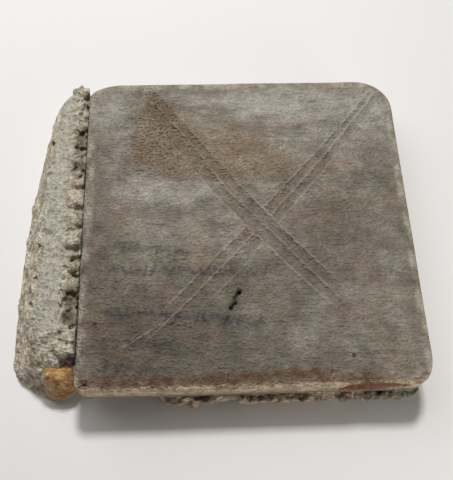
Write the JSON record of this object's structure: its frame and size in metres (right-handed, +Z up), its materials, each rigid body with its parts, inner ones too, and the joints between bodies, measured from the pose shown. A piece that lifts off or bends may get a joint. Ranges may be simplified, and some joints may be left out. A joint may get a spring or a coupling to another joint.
{
  "type": "inscribed tile",
  "caption": "Square fired-clay ceiling tile with crossed finger grooves and a faint inscription on its face, lying on its mortar bed with a thick mortar block along the left side.",
  "frame": {"origin": "on the flat underside of the mortar, below the centre of the tile", "axes": "+Z up out of the tile's face, +X to the right along the near edge, +Y away from the near edge; the mortar block is on the -X side"},
  "size_m": [0.5216, 0.4426, 0.0815],
  "materials": {
    "tile": "unglazed fired clay, grey with brown patches, wiped by hand before firing, matt and dusty",
    "mortar": "pale grey lime mortar, smooth where it was struck off and crumbly where it broke, matt",
    "rubble_stone": "ochre broken stone, matt, with mortar smeared on it"
  },
  "bodies": {
    "root": {"tile": "tile", "mortar": "mortar", "rubble_stone": "rubble_stone"}
  },
  "joints": []
}
